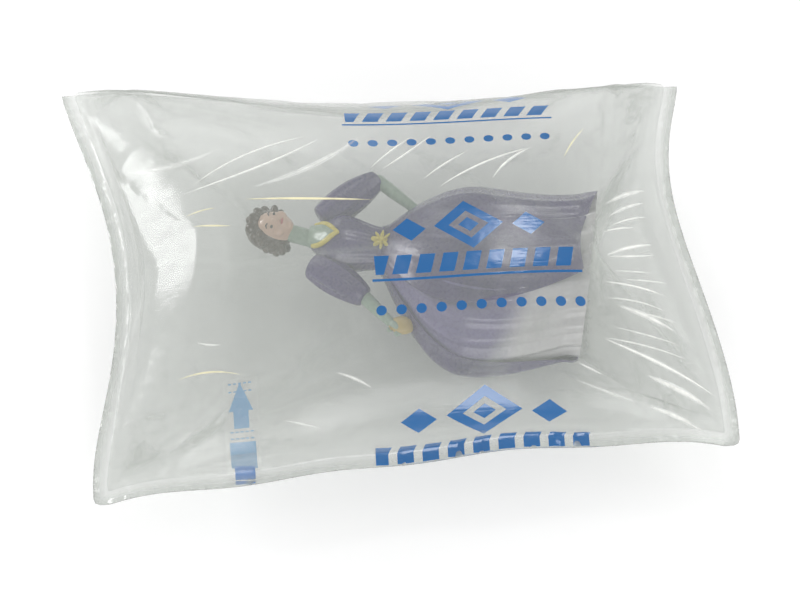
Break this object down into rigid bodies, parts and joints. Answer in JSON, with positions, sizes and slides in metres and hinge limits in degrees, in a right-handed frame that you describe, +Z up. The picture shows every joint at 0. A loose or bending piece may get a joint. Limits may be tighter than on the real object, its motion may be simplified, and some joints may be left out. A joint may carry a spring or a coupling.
{
  "type": "inflatable packaging bag",
  "caption": "Air-filled clear film packing bag, welded at its rim with a flat inlet valve, holding a figurine in a taut inner pouch.",
  "frame": {"origin": "bottom centre of the bag's bounding box, on the floor it rests on", "axes": "+X along the bag to the skirt end of the figurine, +Y to the folded back edge, +Z up"},
  "size_m": [0.4154, 0.2904, 0.102],
  "materials": {
    "outer_film": "glossy clear film, milky",
    "inner_film": "glossy clear film, creased",
    "valve_film": "clear film printed blue",
    "figurine_glaze": "painted resin, glossy"
  },
  "bodies": {
    "root": {"outer_film": "outer_film", "inner_film": "inner_film", "valve_film_upper": "valve_film", "valve_film_lower": "valve_film", "figurine": "figurine_glaze"}
  },
  "joints": []
}
